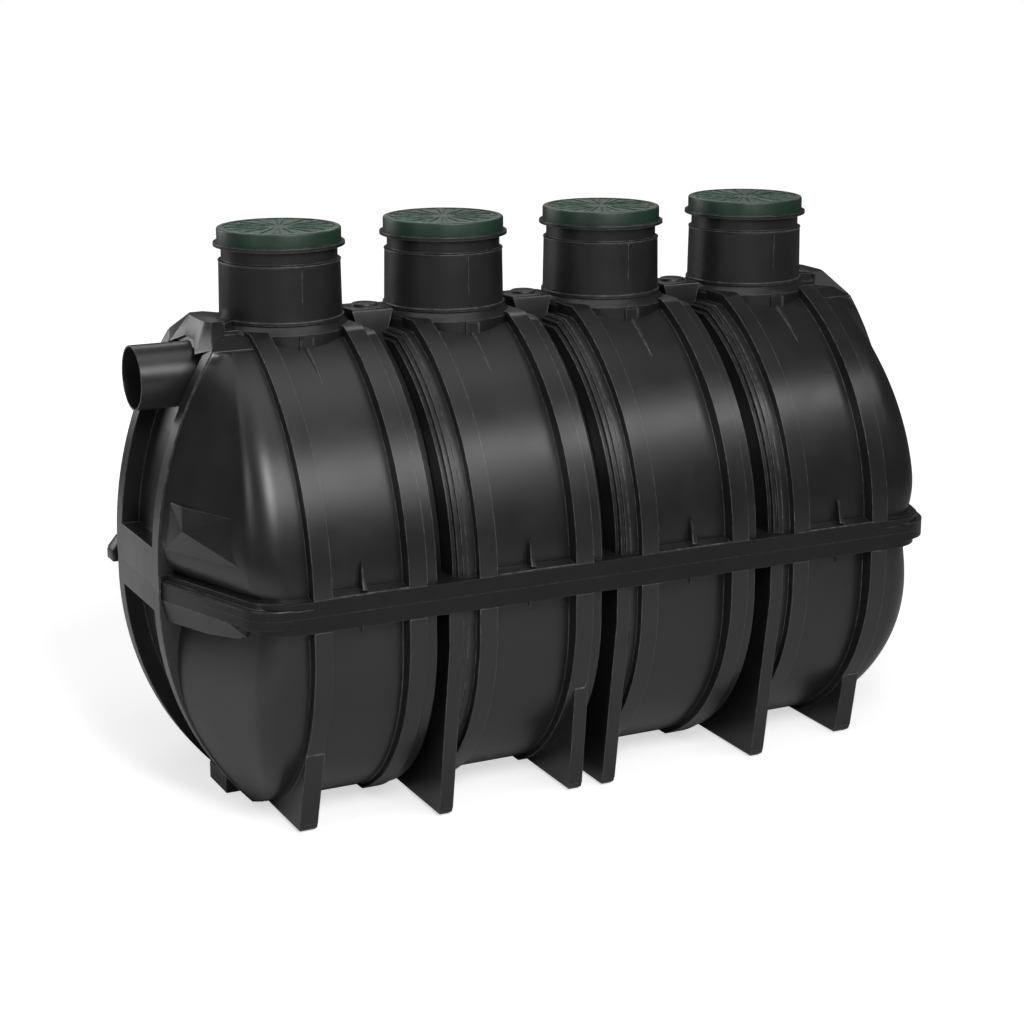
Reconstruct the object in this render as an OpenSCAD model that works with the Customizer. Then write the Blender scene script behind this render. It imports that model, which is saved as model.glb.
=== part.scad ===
// Horizontal septic tank: two mouldings joined at a belt, four ribbed bays in a row, four manhole
// necks with lids, an inlet stub and six saddle feet. X runs along the tank with the inlet at -X,
// Z is up from the floor, and the origin is on the floor under the middle of the tank.

/* [Shell outline] */
// Half width over the ribs and the belt
rib_half = 704; // [660:1:750]
// Height of the seam between the two mouldings
seam_z = 790; // [760:1:820]
// Height above the seam where the sides start to lean in
arc_lift = 22; // [10:1:40]
// Rise of the pointed rib outline above the seam, before its top is flattened
rib_rise = 861; // [830:1:880]
// Height of the ribs' flat top above the seam
rib_cap = 802; // [780:1:815]
// Drop of the rib outline below the seam, before its bottom is flattened
rib_drop = 834; // [820:1:850]
// Gap between the floor and the flat bottom of the shell
floor_gap = 12; // [8:1:20]
// Wall thickness of the mouldings
wall = 10; // [6:1:14]

/* [Step depths, seen at the seam] */
// Depth of a bay's panel behind its ribs
panel_depth = 51; // [30:1:60]
// Depth of the narrow step on the outlet side of a bay
step_depth = 22; // [10:1:30]
// Depth of the shelf on the inlet side of a bay
shelf_depth = 28; // [20:1:40]
// Depth of the valley between two bays
valley_depth = 144; // [110:1:170]
// Depth of the end domes behind the ribs
dome_depth = 42; // [20:1:50]

/* [Bays] */
// Length of the two middle bays over their ribs
mid_bay = 413; // [390:1:430]
// Length of the two end bays over their ribs
end_bay = 386; // [370:1:400]
// Length of the gap between two bays, from rib to rib
bay_gap = 182; // [170:1:200]
// Width of a rib
rib_w = 64; // [50:1:80]
// Width of the step beside a bay
step_w = 42; // [30:1:50]
// Width of the shelf beside a bay
shelf_w = 70; // [55:1:75]

/* [Belt] */
// Height of the belt above the seam
belt_up = 51; // [40:1:60]
// Height of the belt below the seam
belt_down = 52; // [40:1:60]
// Height of the belt's full-width lower band above the seam
belt_band_up = 28; // [15:1:40]
// Depth of that band below the seam
belt_band_down = 30; // [15:1:40]
// Set-back of the belt's ends above that band
belt_lip = 24; // [10:1:40]
// Set-back of the belt's ends below that band
belt_heel = 34; // [10:1:45]
// Radius of the belt's corners in plan
belt_corner = 130; // [100:1:150]
// Set-back of the upper dome's foot behind the frame's front
dome_ledge = 58; // [50:1:70]
// Set-back of the lower dome's head behind the frame's front
dome_hollow = 92; // [80:1:100]
// Set-back of the dome behind the frame's front, away from the belt
dome_back = 6; // [4:1:30]

/* [End frames] */
// Reach of an end frame beyond the end bay
frame_out = 346; // [330:1:360]
// Half width of an end frame
frame_half = 224; // [210:1:240]
// Width of the two upright ribs of a frame
frame_rib = 58; // [40:1:70]
// Depth of the recess between those ribs
recess = 60; // [40:1:70]
// Set-back of the belt's ends behind the frame
frame_proud = 8; // [4:1:20]
// Slope of those end faces in plan, as millimetres back for each millimetre across
end_rake = 0.347; // [0.3:0.001:0.4]
// Height of a frame's crossbar above the seam
bar_up = 130; // [100:1:140]
// Depth of a frame's crossbar below the seam
bar_down = 80; // [65:1:100]
// Radius of the frame's front above the belt
upper_arc = 1300; // [1250:1:1400]
// Radius of the frame's front below the belt
lower_arc = 1070; // [1040:1:1120]
// Half width of the toe under each frame
toe_half = 85; // [60:1:120]
// Length of the blocks over the pipes, from the end bay outwards
block_out = 116; // [105:1:130]
// Half width of those blocks at the bay
block_half = 112; // [100:1:125]
// Half width of their flat front
block_front = 56; // [45:1:70]

/* [Necks and lids] */
// Outer radius of a neck
neck_r = 200; // [190:1:205]
// Distance of the inner necks from the middle of the tank
neck_in = 303; // [295:1:310]
// Distance of the outer necks from the middle of the tank
neck_out = 893; // [885:1:900]
// Height of the bead round a neck's foot above the ribs' flat top
bead_up = 22; // [14:1:30]
// Height of the groove under the rim above that bead
neck_up = 186; // [170:1:210]
// Height of the rim's underside above the groove
rim_up = 46; // [38:1:54]
// Height of the lid's top above the rim's underside
lid_up = 60; // [50:1:72]
// Thickness of the rim
rim_t = 12; // [8:1:16]

/* [Pipes] */
// Bore radius of the pipe stubs
pipe_r = 100; // [95:1:105]
// Wall of the pipe stubs
pipe_wall = 6; // [5:1:8]
// Height of the inlet stub's axis
inlet_z = 1446; // [1435:1:1450]
// Drop of the outlet's axis below the inlet's
pipe_fall = 46; // [30:1:60]
// Reach of the inlet stub
inlet_reach = 1410; // [1390:1:1430]
// Reach of the outlet stub
outlet_reach = 1310; // [1300:1:1330]

/* [Feet] */
// Half spread of the feet under the ribs, at the floor
rib_foot = 522; // [500:1:560]
// Half spread of the feet in the gaps, at the floor
gap_foot = 594; // [560:1:620]
// Thickness of the feet
foot_t = 50; // [40:1:64]
// Radius of the feet's lower corners
foot_round = 28; // [15:1:35]
// Bevel along the feet's lower edges
foot_edge = 12; // [6:1:16]

/* [Bridges] */
// Height of the bridges between the necks above the ribs' flat top
bridge_up = 28; // [20:1:40]
// Half width of the bridges
bridge_half = 58; // [45:1:80]
// Gap between a bridge and the ribs beside it
bridge_gap = 16; // [10:1:24]
// Radius of the round knob on a bridge
knob_r = 44; // [30:1:50]
// Height of that knob above the bridge
knob_up = 12; // [8:1:16]

/* [Hidden] */
$fn = 96;
fine = 288;

BLACK = "#2b2b2c";
GREEN = "#26402f";
EPS = 1;

// Levels of the stepped shell, each as [half width, rise, drop, cap height] from the seam.
RIB = [rib_half, rib_rise, rib_drop, rib_cap];
STEP = [rib_half - step_depth, rib_rise - 16, rib_drop - 8, rib_cap - 20];
PANEL = [rib_half - panel_depth, rib_rise - 25, rib_drop - 15, rib_cap - 36];
SHELF = [rib_half - shelf_depth, rib_rise - 38, rib_drop - 19, rib_cap - 38];
DOME = [rib_half - dome_depth, rib_rise - 15, rib_drop - 12, rib_cap - 12];
VALLEY = [rib_half - valley_depth, rib_rise - 80, rib_drop - 104, rib_cap - 44];

// Rib faces of the four bays, from the inlet end.
in_x = bay_gap / 2;
mid_x = in_x + mid_bay;
out_x = mid_x + bay_gap;
end_x = out_x + end_bay;
BAYS = [[-end_x, -out_x], [-mid_x, -in_x], [in_x, mid_x], [out_x, end_x]];
NECKS = [-neck_out, -neck_in, neck_in, neck_out];
frame_reach = end_x + frame_out;
cap_z = seam_z + rib_cap;
roof_z = seam_z + DOME[3];
bead_z = cap_z + bead_up;
neck_step_z = bead_z + neck_up;
rim_z = neck_step_z + rim_up;
lid_z = rim_z + lid_up;
bridge_z = cap_z + bridge_up;
belt_top = seam_z + belt_up;
belt_bottom = seam_z - belt_down;
neck_foot_r = neck_r + 4;
neck_foot_z = cap_z - 87;
pipe_out = pipe_r + pipe_wall;
pipe_root = end_x + 48;
far = 2 * frame_reach;

function thin(level) = level - [wall, wall, wall, wall];

// ---- outlines across the tank -------------------------------------------------------------------

// Offset of a level's two side arcs from the middle of the tank.
function arc_shift(level) = (pow(level[1] - arc_lift, 2) - level[0] * level[0]) / (2 * level[0]);

// Arch over the seam: two leaning arcs and a flat top.
module arch(level) {
    c = arc_shift(level);
    intersection() {
        translate([-c, arc_lift]) circle(r = level[0] + c, $fn = fine);
        translate([c, arc_lift]) circle(r = level[0] + c, $fn = fine);
        translate([-level[0], 0]) square([2 * level[0], level[3]]);
    }
}

// Round bowl under the seam, flattened just above the floor.
module bowl(level, flat = floor_gap) {
    straight = level[2] - level[0];
    intersection() {
        union() {
            translate([0, -straight]) circle(r = level[0], $fn = fine);
            translate([-level[0], -straight]) square([2 * level[0], straight]);
        }
        translate([-level[0], flat - seam_z]) square([2 * level[0], seam_z - flat]);
    }
}

module across(x0, x1) {
    translate([x0, 0, seam_z]) rotate([90, 0, 90]) linear_extrude(x1 - x0) children();
}

// The shelf falls away into the valley in rounded steps: [start, end, depth], start and end as shares of its width.
HUMP = [[0, 0.17, 28], [0.17, 0.37, 12], [0.37, 0.6, 3], [0.6, 1, 0]];
function shelf_rows(a) = [for (h = HUMP)
    [a - shelf_w * (1 - h[0]), a - shelf_w * (1 - h[1]), SHELF - [h[2], h[2], h[2], h[2]]]];

// Outer steps and inner steps of a bay. Each row is [start, end, level].
function bay_rows(i) = let (a = BAYS[i][0], b = BAYS[i][1]) concat(
    i == 0 ? [] : shelf_rows(a),
    [[a, a + rib_w, RIB], [a + rib_w, b - rib_w, PANEL], [b - rib_w, b, RIB]],
    i == 3 ? [] : [[b, b + step_w, STEP]]);
function beside(rows, j, ends) = j < 0 ? ends[0] : j >= len(rows) ? ends[1] : rows[j][2];
function bay_ends(i) = [i == 0 ? DOME : VALLEY, i == 3 ? DOME : VALLEY];

module bay_steps(i, upper) {
    for (row = bay_rows(i)) across(row[0], row[1]) {
        if (upper) arch(row[2]);
        else bowl(row[2]);
    }
}

module bay_hollow(i, upper) {
    rows = bay_rows(i);
    ends = bay_ends(i);
    last = len(rows) - 1;
    for (j = [0:last]) {
        before = beside(rows, j - 1, ends);
        after = beside(rows, j + 1, ends);
        x0 = rows[j][0] + (before[0] < rows[j][2][0] ? wall : -wall);
        x1 = rows[j][1] + (after[0] < rows[j][2][0] ? -wall : wall);
        across(x0, x1) {
            if (upper) arch(thin(rows[j][2]));
            else bowl(thin(rows[j][2]), floor_gap + wall);
        }
    }
    for (end = [0, 1]) {
        x = end == 0 ? rows[0][0] : rows[last][1];
        across(x - 2 * wall, x + 2 * wall) {
            if (upper) arch(thin(ends[end]));
            else bowl(thin(ends[end]), floor_gap + wall);
        }
    }
}

module neck_holes(i0, i1) {
    for (i = [i0:i1])
        translate([NECKS[i], 0, neck_foot_z - 60]) cylinder(r = neck_foot_r, h = lid_z - neck_foot_z);
}

module upper_zone() {
    translate([-far / 2, -far / 2, belt_top]) cube(far);
}

module lower_zone() {
    translate([-far / 2, -far / 2, 0]) cube([far, far, belt_bottom]);
}

module upper_bay(i) {
    color(BLACK) intersection() {
        difference() {
            bay_steps(i, true);
            bay_hollow(i, true);
            neck_holes(i, i);
        }
        upper_zone();
    }
}

module lower_bay(i) {
    color(BLACK) intersection() {
        difference() {
            bay_steps(i, false);
            bay_hollow(i, false);
        }
        lower_zone();
    }
}

// ---- valleys and bridges ------------------------------------------------------------------------

function valley_x(i) = [BAYS[i][1] + step_w, BAYS[i + 1][0] - shelf_w];

module upper_valley(i) {
    x = valley_x(i);
    color(BLACK) intersection() {
        across(x[0], x[1]) difference() {
            arch(VALLEY);
            arch(thin(VALLEY));
        }
        upper_zone();
    }
}

module lower_valley(i) {
    x = valley_x(i);
    color(BLACK) intersection() {
        across(x[0], x[1]) difference() {
            bowl(VALLEY);
            bowl(thin(VALLEY), floor_gap + wall);
        }
        lower_zone();
    }
}

module bridge(i) {
    x0 = BAYS[i][1] + bridge_gap;
    x1 = BAYS[i + 1][0] - bridge_gap;
    color(BLACK) difference() {
        union() {
            translate([x0, -bridge_half, neck_foot_z]) cube([x1 - x0, 2 * bridge_half, bridge_z - neck_foot_z]);
            translate([(x0 + x1) / 2, 0, neck_foot_z]) cylinder(r = knob_r, h = bridge_z + knob_up - neck_foot_z);
        }
        bay_steps(i, true);
        bay_steps(i + 1, true);
        across(valley_x(i)[0], valley_x(i)[1]) arch(VALLEY);
        neck_holes(i, i + 1);
    }
}

// ---- belt ---------------------------------------------------------------------------------------

// Plan of the belt with its four corners rounded, drawn in by inset, and by lip more at its ends.
corner_steps = 24;
belt_turn = 90 - atan(end_rake);
module belt_plan(inset = 0, lip = 0) {
    side = rib_half - inset;
    face = frame_reach - frame_proud - inset - lip;
    knee = face - end_rake * (side - frame_half) - belt_corner * tan(belt_turn / 2);
    quarter = concat([[face, frame_half]], [for (k = [corner_steps:-1:0]) let (a = 90 - belt_turn * k / corner_steps)
        [knee + belt_corner * cos(a), side - belt_corner + belt_corner * sin(a)]]);
    last = len(quarter) - 1;
    polygon(concat(
        quarter,
        [for (j = [last:-1:0]) [-quarter[j][0], quarter[j][1]]],
        [for (p = quarter) [-p[0], -p[1]]],
        [for (j = [last:-1:0]) [quarter[j][0], -quarter[j][1]]]));
}

// The room inside the shell at the belt.
module belt_room(upper) {
    for (i = [0:3]) bay_hollow(i, upper);
    for (i = [0:2]) across(valley_x(i)[0] - EPS, valley_x(i)[1] + EPS) {
        if (upper) arch(thin(VALLEY));
        else bowl(thin(VALLEY));
    }
    for (s = [-1, 1]) intersection() {
        translate([0, 0, belt_bottom - EPS]) linear_extrude(belt_up + belt_down + 2 * EPS)
            belt_plan((upper ? dome_ledge : dome_hollow) - frame_proud + wall);
        translate([s > 0 ? end_x - EPS : -end_x - far + EPS, -far / 2, 0]) cube(far);
    }
}

// Full depth of the belt behind the end frames.
module belt_nose(z, height) {
    for (s = [0, 1]) mirror([s, 0, 0])
        translate([frame_reach - dome_ledge, -frame_half, z])
            cube([dome_ledge - frame_proud, 2 * frame_half, height]);
}

module upper_flange() {
    color(BLACK) difference() {
        union() {
            translate([0, 0, seam_z]) linear_extrude(belt_band_up) belt_plan();
            translate([0, 0, seam_z]) linear_extrude(belt_up) belt_plan(0, belt_lip);
            belt_nose(seam_z, belt_up);
        }
        belt_room(true);
    }
}

module lower_flange() {
    color(BLACK) difference() {
        union() {
            translate([0, 0, seam_z - belt_band_down]) linear_extrude(belt_band_down) belt_plan();
            translate([0, 0, belt_bottom]) linear_extrude(belt_down) belt_plan(0, belt_heel);
            belt_nose(belt_bottom, belt_down);
        }
        belt_room(false);
    }
}

// ---- end frames ---------------------------------------------------------------------------------

// Height where a frame's front is upright.
function arc_z(upper) = upper ? belt_top + 9 : belt_bottom + 12;

// Section along the tank through a frame, outlet end, with its front drawn in by inset.
module frame_face(inset, upper) {
    radius = upper ? upper_arc : lower_arc;
    translate([frame_reach - radius, arc_z(upper)]) circle(r = radius - inset);
}

module along_y(y0, y1) {
    translate([0, y1, 0]) rotate([90, 0, 0]) linear_extrude(y1 - y0) children();
}

module frame_band(inner, outer, z0, z1, upper) {
    intersection() {
        difference() {
            frame_face(outer, upper);
            frame_face(inner, upper);
        }
        translate([end_x, z0]) square([far, z1 - z0]);
    }
}

module frame_upper() {
    back = recess + wall;
    face = frame_reach - frame_proud;
    lintel_z = roof_z - 4 * wall;
    difference() {
        union() {
            intersection() {
                union() {
                    for (s = [0, 1]) mirror([0, s, 0])
                        along_y(frame_half - frame_rib, frame_half) frame_band(back, 0, belt_top, roof_z, true);
                    along_y(-frame_half, frame_half) frame_band(back, recess, belt_top, roof_z, true);
                    along_y(-frame_half, frame_half) frame_band(back, 0, belt_top, seam_z + bar_up, true);
                    along_y(-frame_half, frame_half) frame_band(back, 0, lintel_z, roof_z, true);
                }
                across(end_x, frame_reach) arch(DOME);
            }
            along_y(-frame_half, frame_half) intersection() {
                frame_face(0, true);
                translate([face, seam_z]) square([frame_proud, bar_up]);
            }
            roof();
            shoulder();
        }
        neck_holes(3, 3);
    }
}

// Roof between the frame and the end bay.
module roof() {
    intersection() {
        across(end_x, frame_reach) difference() {
            arch(DOME);
            arch(thin(DOME));
        }
        along_y(-frame_half, frame_half) intersection() {
            frame_face(0, true);
            translate([end_x, belt_top]) square(far);
        }
    }
}

// Faceted block over the pipe, against the neck.
module shoulder() {
    front = end_x + block_out;
    knee = front - block_out / 5;
    difference() {
        translate([0, 0, roof_z - 2 * wall]) linear_extrude(bridge_z - roof_z + 2 * wall) polygon([
            [end_x, -block_half], [knee, -block_half], [front, -block_front],
            [front, block_front], [knee, block_half], [end_x, block_half]
        ]);
        across(end_x - EPS, frame_reach) arch(thin(DOME));
    }
}

module frame_lower() {
    back = recess + wall;
    face = frame_reach - frame_proud;
    for (s = [0, 1]) mirror([0, s, 0])
        along_y(frame_half - frame_rib, frame_half) frame_band(back, 0, floor_gap, belt_bottom, false);
    along_y(-frame_half, frame_half) frame_band(back, recess, floor_gap, belt_bottom, false);
    along_y(-frame_half, frame_half) intersection() {
        frame_face(0, false);
        translate([face, seam_z - bar_down]) square([frame_proud, bar_down]);
    }
    along_y(-frame_half, frame_half) frame_band(back, 0, seam_z - bar_down, belt_bottom, false);
    along_y(-toe_half, toe_half) translate([end_x, 0]) square([95, 60]);
    along_y(-frame_half, frame_half) intersection() {
        frame_face(0, false);
        translate([end_x, floor_gap]) square([200, wall]);
    }
}

module inlet_frame_upper() {
    color(BLACK) difference() {
        mirror([1, 0, 0]) frame_upper();
        stub_hole(-1, inlet_z);
    }
}

module outlet_frame_upper() {
    color(BLACK) difference() {
        frame_upper();
        stub_hole(1, inlet_z - pipe_fall);
    }
}

module inlet_frame_lower() {
    color(BLACK) mirror([1, 0, 0]) frame_lower();
}

module outlet_frame_lower() {
    color(BLACK) frame_lower();
}

// ---- end domes ----------------------------------------------------------------------------------

// Half width of a level's outline at height z, and the frame's reach there.
function arch_half(level, z) = let (c = arc_shift(level), h = max(0, z - seam_z - arc_lift))
    sqrt(max(0, pow(level[0] + c, 2) - h * h)) - c;
function bowl_half(level, z) = let (h = seam_z - z - (level[2] - level[0]))
    h <= 0 ? level[0] : sqrt(max(0, level[0] * level[0] - h * h));
function face_reach(z, upper) = let (radius = upper ? upper_arc : lower_arc)
    frame_reach - radius + sqrt(radius * radius - pow(z - arc_z(upper), 2));

// Corner of a cheek in plan: from the bay's side (0, 1) round to the frame (1, 0).
corner_n = 11;
cheek_x = frame_reach - dome_ledge - end_x;
cheek_y = rib_half - dome_depth - frame_half;
cheek_r = 110;
POCKET = [430, 120];
cheek_turn = 90 - atan(end_rake);
cheek_knee = cheek_x - end_rake * cheek_y;
function cheek_corner() = let (t = cheek_r * tan(cheek_turn / 2)) [
    for (k = [0:corner_n]) let (a = 90 - cheek_turn * k / corner_n) [
        (cheek_knee - t + cheek_r * cos(a)) / cheek_x,
        1 + (cheek_r * sin(a) - cheek_r) / cheek_y
    ]];

// One cheek as a loft of plan outlines. back is how far it runs past its flat sides.
module cheek_solid(skin, back, upper, zs) {
    rows = [for (z = zs) let (
        w = (upper ? arch_half(DOME, z) : bowl_half(DOME, z)) - skin,
        near = max(0, 1 - abs(z - seam_z - (upper ? belt_up : -belt_down)) / POCKET[upper ? 1 : 0]),
        ledge = (upper ? dome_ledge : dome_hollow) - dome_back,
        e = face_reach(z, upper) - dome_back - ledge * near * near - skin,
        dy = max(6, w - frame_half)
    ) concat(
        [[end_x - back, frame_half - back, z], [end_x - back, frame_half + dy, z]],
        [for (p = cheek_corner()) [end_x + p[0] * (e - end_x), frame_half + p[1] * dy, z]],
        [[e + end_rake * back, frame_half - back, z]])];
    n = len(rows[0]);
    m = len(zs);
    polyhedron(
        points = [for (row = rows) each row],
        faces = concat(
            [[for (j = [n - 1:-1:0]) j]],
            [for (i = [0:m - 2], j = [0:n - 1]) let (k = (j + 1) % n)
                [i * n + j, i * n + k, (i + 1) * n + k, (i + 1) * n + j]],
            [[for (j = [0:n - 1]) (m - 1) * n + j]]),
        convexity = 6);
}

// Heights of the lofts' outlines: closer together at the top and the bottom, and by the belt.
loft_n = 16;
function eased(t) = (sin(90 * t) + t) / 2;
upper_top = seam_z + arc_lift
    + sqrt(pow(DOME[0] + arc_shift(DOME), 2) - pow(frame_half + 7 + arc_shift(DOME), 2));
upper_zs = [for (k = [0:loft_n]) belt_top + (upper_top - belt_top) * eased(k / loft_n)];
lower_zs = [for (k = [0:loft_n]) belt_bottom - (belt_bottom - floor_gap) * eased(1 - k / loft_n)];

module dome_upper() {
    difference() {
        union() for (s = [0, 1]) mirror([0, s, 0]) cheek_solid(0, 0, true, upper_zs);
        for (s = [0, 1]) mirror([0, s, 0])
            cheek_solid(wall, 2 * wall, true, [for (z = upper_zs) z == upper_zs[0] ? z - 5 : z - wall]);
        neck_holes(3, 3);
    }
}

module dome_lower() {
    difference() {
        union() for (s = [0, 1]) mirror([0, s, 0]) cheek_solid(0, 0, false, lower_zs);
        for (s = [0, 1]) mirror([0, s, 0])
            cheek_solid(wall, 2 * wall, false, [for (z = lower_zs) z == lower_zs[loft_n] ? z + 5 : z + wall]);
    }
}

module inlet_dome_upper() {
    color(BLACK) mirror([1, 0, 0]) dome_upper();
}

module outlet_dome_upper() {
    color(BLACK) dome_upper();
}

module inlet_dome_lower() {
    color(BLACK) mirror([1, 0, 0]) dome_lower();
}

module outlet_dome_lower() {
    color(BLACK) dome_lower();
}

// ---- necks, lids and pipes ----------------------------------------------------------------------

module neck(i) {
    inner = neck_r - wall;
    ring_r = neck_r - 9;
    color(BLACK) translate([NECKS[i], 0, 0]) rotate_extrude() polygon([
        [inner, neck_foot_z], [neck_foot_r, neck_foot_z], [neck_foot_r, bead_z - 5],
        [neck_foot_r + 4, bead_z - 5], [neck_foot_r + 4, bead_z + 5], [neck_foot_r - 1, bead_z + 5],
        [neck_r, neck_step_z - 6], [neck_r + 2, neck_step_z - 3], [neck_r + 2, neck_step_z],
        [ring_r, neck_step_z + 3], [ring_r, rim_z], [neck_r + 16, rim_z], [neck_r + 16, rim_z + rim_t],
        [ring_r, rim_z + rim_t], [ring_r, lid_z - 22], [ring_r - 9, lid_z - 22], [ring_r - 9, neck_step_z],
        [inner, neck_step_z - 9]
    ]);
}

module lid(i) {
    skirt = neck_r + 4;
    foot = rim_z + rim_t;
    color(GREEN) translate([NECKS[i], 0, 0]) {
        rotate_extrude() polygon([
            [0, lid_z - 10], [skirt - 8, lid_z - 10], [skirt - 8, foot], [skirt, foot],
            [skirt, lid_z - 10], [skirt - 3, lid_z - 3], [skirt - 10, lid_z], [0, lid_z]
        ]);
    }
}

module stub_hole(s, z) {
    reach = frame_reach + 80;
    translate([s * reach, 0, z]) rotate([0, -90 * s, 0]) cylinder(r = pipe_out, h = reach - pipe_root);
}

module stub(s, z, reach, root) {
    color(BLACK) translate([s * reach, 0, z]) rotate([0, -90 * s, 0]) difference() {
        cylinder(r = pipe_out, h = reach - root);
        translate([0, 0, -EPS]) cylinder(r = pipe_r, h = reach - root + 2 * EPS);
    }
}

module inlet_pipe() {
    stub(-1, inlet_z, inlet_reach, pipe_root);
}

module outlet_pipe() {
    stub(1, inlet_z - pipe_fall, outlet_reach, pipe_root);
}

// ---- saddles ------------------------------------------------------------------------------------

// Rows are [left face, thickness, half spread, height where the edge leaves the shell, lean at the belt].
SADDLES = [
    [-end_x, rib_w, rib_foot, 300, 0],
    [BAYS[1][0] - shelf_w - 32, foot_t, gap_foot, 620, 0],
    [BAYS[1][1] - foot_t / 2 - 2, foot_t, gap_foot - 8, 620, -foot_t / 2],
    [BAYS[2][0] - shelf_w - 16, foot_t, gap_foot, 620, 0],
    [BAYS[3][0] - shelf_w - 12, foot_t, gap_foot, 620, 0],
    [end_x - rib_w, rib_w, rib_foot, 240, 0]
];

// Outline of a saddle across the tank.
module saddle_front(row, top) {
    high = top == belt_bottom;
    top_y = high ? rib_half - 14 : bowl_half(RIB, row[3]);
    for (s = [-1, 1]) scale([s, 1]) {
        polygon([
            [0, 0], [row[2] - foot_round, 0], [row[2] + 5, foot_round], [top_y, row[3]],
            [top_y, top], [0, top]
        ]);
        translate([row[2] - foot_round + 2, foot_round]) circle(r = foot_round);
    }
}

module saddle(k) {
    row = SADDLES[k];
    top = row[3] > 500 ? belt_bottom : row[3];
    lean = row[4];
    color(BLACK) difference() {
        intersection() {
            translate([row[0] - foot_t, 0, 0]) rotate([90, 0, 90]) linear_extrude(row[1] + 2 * foot_t)
                saddle_front(row, top);
            along_y(-rib_half, rib_half) polygon([
                [row[0] + foot_edge, 0], [row[0] + row[1] - foot_edge, 0], [row[0] + row[1], foot_edge],
                [row[0] + row[1] + lean, top], [row[0] + lean, top], [row[0], foot_edge]
            ]);
        }
        for (i = [0:3]) bay_steps(i, false);
        for (i = [0:2]) across(valley_x(i)[0], valley_x(i)[1]) bowl(VALLEY);
    }
}

upper_bay(0);  // upper_bay_1
upper_bay(1);  // upper_bay_2
upper_bay(2);  // upper_bay_3
upper_bay(3);  // upper_bay_4
upper_valley(0);  // upper_valley_1
upper_valley(1);  // upper_valley_2
upper_valley(2);  // upper_valley_3
lower_bay(0);  // lower_bay_1
lower_bay(1);  // lower_bay_2
lower_bay(2);  // lower_bay_3
lower_bay(3);  // lower_bay_4
lower_valley(0);  // lower_valley_1
lower_valley(1);  // lower_valley_2
lower_valley(2);  // lower_valley_3
upper_flange();
lower_flange();
inlet_frame_upper();
outlet_frame_upper();
inlet_frame_lower();
outlet_frame_lower();
inlet_dome_upper();
outlet_dome_upper();
inlet_dome_lower();
outlet_dome_lower();
bridge(0);  // bridge_1
bridge(1);  // bridge_2
bridge(2);  // bridge_3
neck(0);  // neck_1
neck(1);  // neck_2
neck(2);  // neck_3
neck(3);  // neck_4
lid(0);  // lid_1
lid(1);  // lid_2
lid(2);  // lid_3
lid(3);  // lid_4
inlet_pipe();
outlet_pipe();
saddle(0);  // saddle_1
saddle(1);  // saddle_2
saddle(2);  // saddle_3
saddle(3);  // saddle_4
saddle(4);  // saddle_5
saddle(5);  // saddle_6
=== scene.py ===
# %% [markdown]
# # A septic tank in black polyethylene
# Two ribbed half shells meet at a belt, with four manhole necks on top under dark green lids. The
# solid model already holds every main form, so this lesson loads it as a fixed frame, gives each
# part its moulded finish, adds the small trim that belongs to the surface, and lights it as a plain
# studio picture.

# %% Load the frame
import math

import bmesh
import bpy
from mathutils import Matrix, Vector


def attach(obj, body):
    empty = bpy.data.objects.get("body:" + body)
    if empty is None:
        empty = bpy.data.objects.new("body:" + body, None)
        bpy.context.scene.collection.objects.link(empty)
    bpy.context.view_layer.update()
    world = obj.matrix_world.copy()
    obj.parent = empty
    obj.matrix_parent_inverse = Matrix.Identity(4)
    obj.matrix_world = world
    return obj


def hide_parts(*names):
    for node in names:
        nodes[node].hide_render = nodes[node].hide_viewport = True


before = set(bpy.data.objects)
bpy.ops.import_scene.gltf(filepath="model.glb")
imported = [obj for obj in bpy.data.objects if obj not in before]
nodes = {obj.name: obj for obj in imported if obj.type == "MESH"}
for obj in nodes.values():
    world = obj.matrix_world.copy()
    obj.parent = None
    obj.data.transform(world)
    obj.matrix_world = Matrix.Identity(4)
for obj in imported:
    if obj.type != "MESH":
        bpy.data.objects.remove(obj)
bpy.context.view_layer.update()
scene = bpy.context.scene

# %% [markdown]
# The camera stands a little above the lids, off the inlet's corner, with a long lens, so that the
# uprights of the tank stay nearly parallel.

# %% Camera
camera_data = bpy.data.cameras.new("camera")
camera = bpy.data.objects.new("camera", camera_data)
scene.collection.objects.link(camera)
camera.location = (-3.4829, -6.9635, 2.9304)
camera.rotation_euler = (math.radians(74.91), 0, math.radians(-26.29))
camera_data.lens = 79.71
camera_data.sensor_width = 36
scene.camera = camera
print("camera", tuple(round(v, 2) for v in camera.location))

# %% [markdown]
# ## Finishes
# Rotationally moulded polyethylene is satin, never flat: the mould leaves a fine orange-peel grain,
# and the wall waves slowly over a hand's width. A pale colour is painted along every edge where a rib
# or an edge stands proud, as a painted highlight. Noise at three sizes drives the bump and the
# roughness, and the tint moves only a little, because the pigment goes right through the material.
# The same few nodes come back in every finish, so each gets a short helper. Painting images for this
# would also do, but a pattern of nodes has no resolution and needs no unwrapping.


# %% Helpers for node materials
def new_material(name):
    """A material with an empty node tree, its shader and its output."""
    material = bpy.data.materials.new(name)
    material.use_nodes = True
    tree = material.node_tree
    tree.nodes.clear()
    output = tree.nodes.new("ShaderNodeOutputMaterial")
    shader = tree.nodes.new("ShaderNodeBsdfPrincipled")
    tree.links.new(shader.outputs["BSDF"], output.inputs["Surface"])
    return material, tree, shader


def noise(tree, coords, scale, detail=3.0, rough=0.5):
    """A noise pattern of a given number of waves to the metre."""
    texture = tree.nodes.new("ShaderNodeTexNoise")
    texture.inputs["Scale"].default_value = scale
    texture.inputs["Detail"].default_value = detail
    texture.inputs["Roughness"].default_value = rough
    tree.links.new(coords, texture.inputs["Vector"])
    return texture.outputs["Fac"]


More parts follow.
